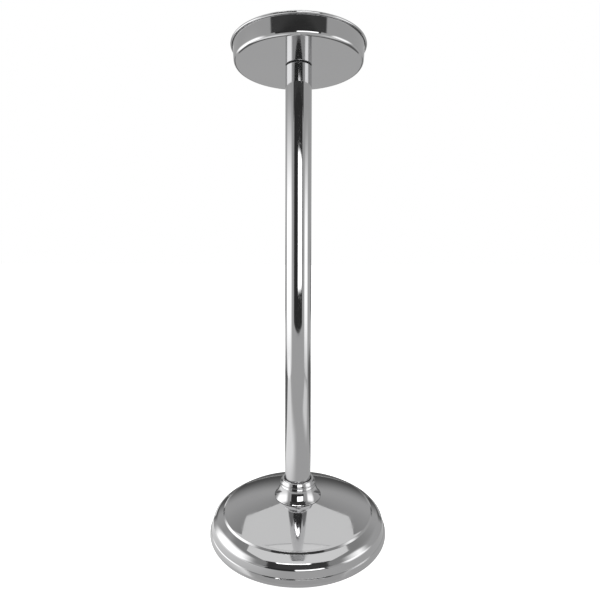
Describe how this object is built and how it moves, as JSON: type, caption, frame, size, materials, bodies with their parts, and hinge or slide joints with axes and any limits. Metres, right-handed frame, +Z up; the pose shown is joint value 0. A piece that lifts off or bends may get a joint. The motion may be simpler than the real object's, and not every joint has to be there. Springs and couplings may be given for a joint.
{
  "type": "pedestal tray stand",
  "caption": "Floor stand with a shallow round rolled-rim tray on a tube post, a loose stepped collar and a low domed, weighted round foot.",
  "frame": {"origin": "middle of the round footprint, on the floor that the rubber ring stands on", "axes": "+Z up along the post; every piece is turned about Z, so +X and +Y are arbitrary"},
  "size_m": [0.2278, 0.2278, 0.62],
  "materials": {
    "polished_steel": "mirror-polished bright metal with a faint spun grain",
    "turned_steel": "machined, with turning marks",
    "zinc_plate": "bright zinc-plated fastener",
    "painted_iron": "cast surface under satin black paint",
    "black_rubber": "matt black rubber",
    "black_nylon": "black nylon"
  },
  "bodies": {
    "stand": {"post_tube": "polished_steel", "post_top_plug": "turned_steel", "post_bottom_plug": "turned_steel", "base_cover": "polished_steel", "base_weight": "painted_iron", "foot_ring": "black_rubber", "base_bolt": "zinc_plate", "base_flat_washer": "zinc_plate", "base_spring_washer": "zinc_plate"},
    "collar": {"base_collar": "polished_steel"},
    "tray_carrier": {"slip_washer": "black_nylon"},
    "tray": {"tray_pan": "polished_steel", "tray_bolt": "zinc_plate", "tray_washer": "zinc_plate", "tray_lock_nut": "zinc_plate"}
  },
  "joints": [
    {"name": "collar_lift", "type": "slide", "parent": "stand", "child": "collar", "axis": [0, 0, 1], "range_m": [0, 0.527]},
    {"name": "tray_rise", "type": "slide", "parent": "stand", "child": "tray_carrier", "axis": [0, 0, 1], "range_m": [0, 0.012]},
    {"name": "tray_turn", "type": "hinge", "parent": "tray_carrier", "child": "tray", "pos_m": [0, 0, 0.5918], "axis": [0, 0, 1], "range_deg": [0, 2880]}
  ],
  "couplings": [
    {"joint": "tray_rise", "follows": "tray_turn", "m_per_rad": 0.00023873}
  ]
}
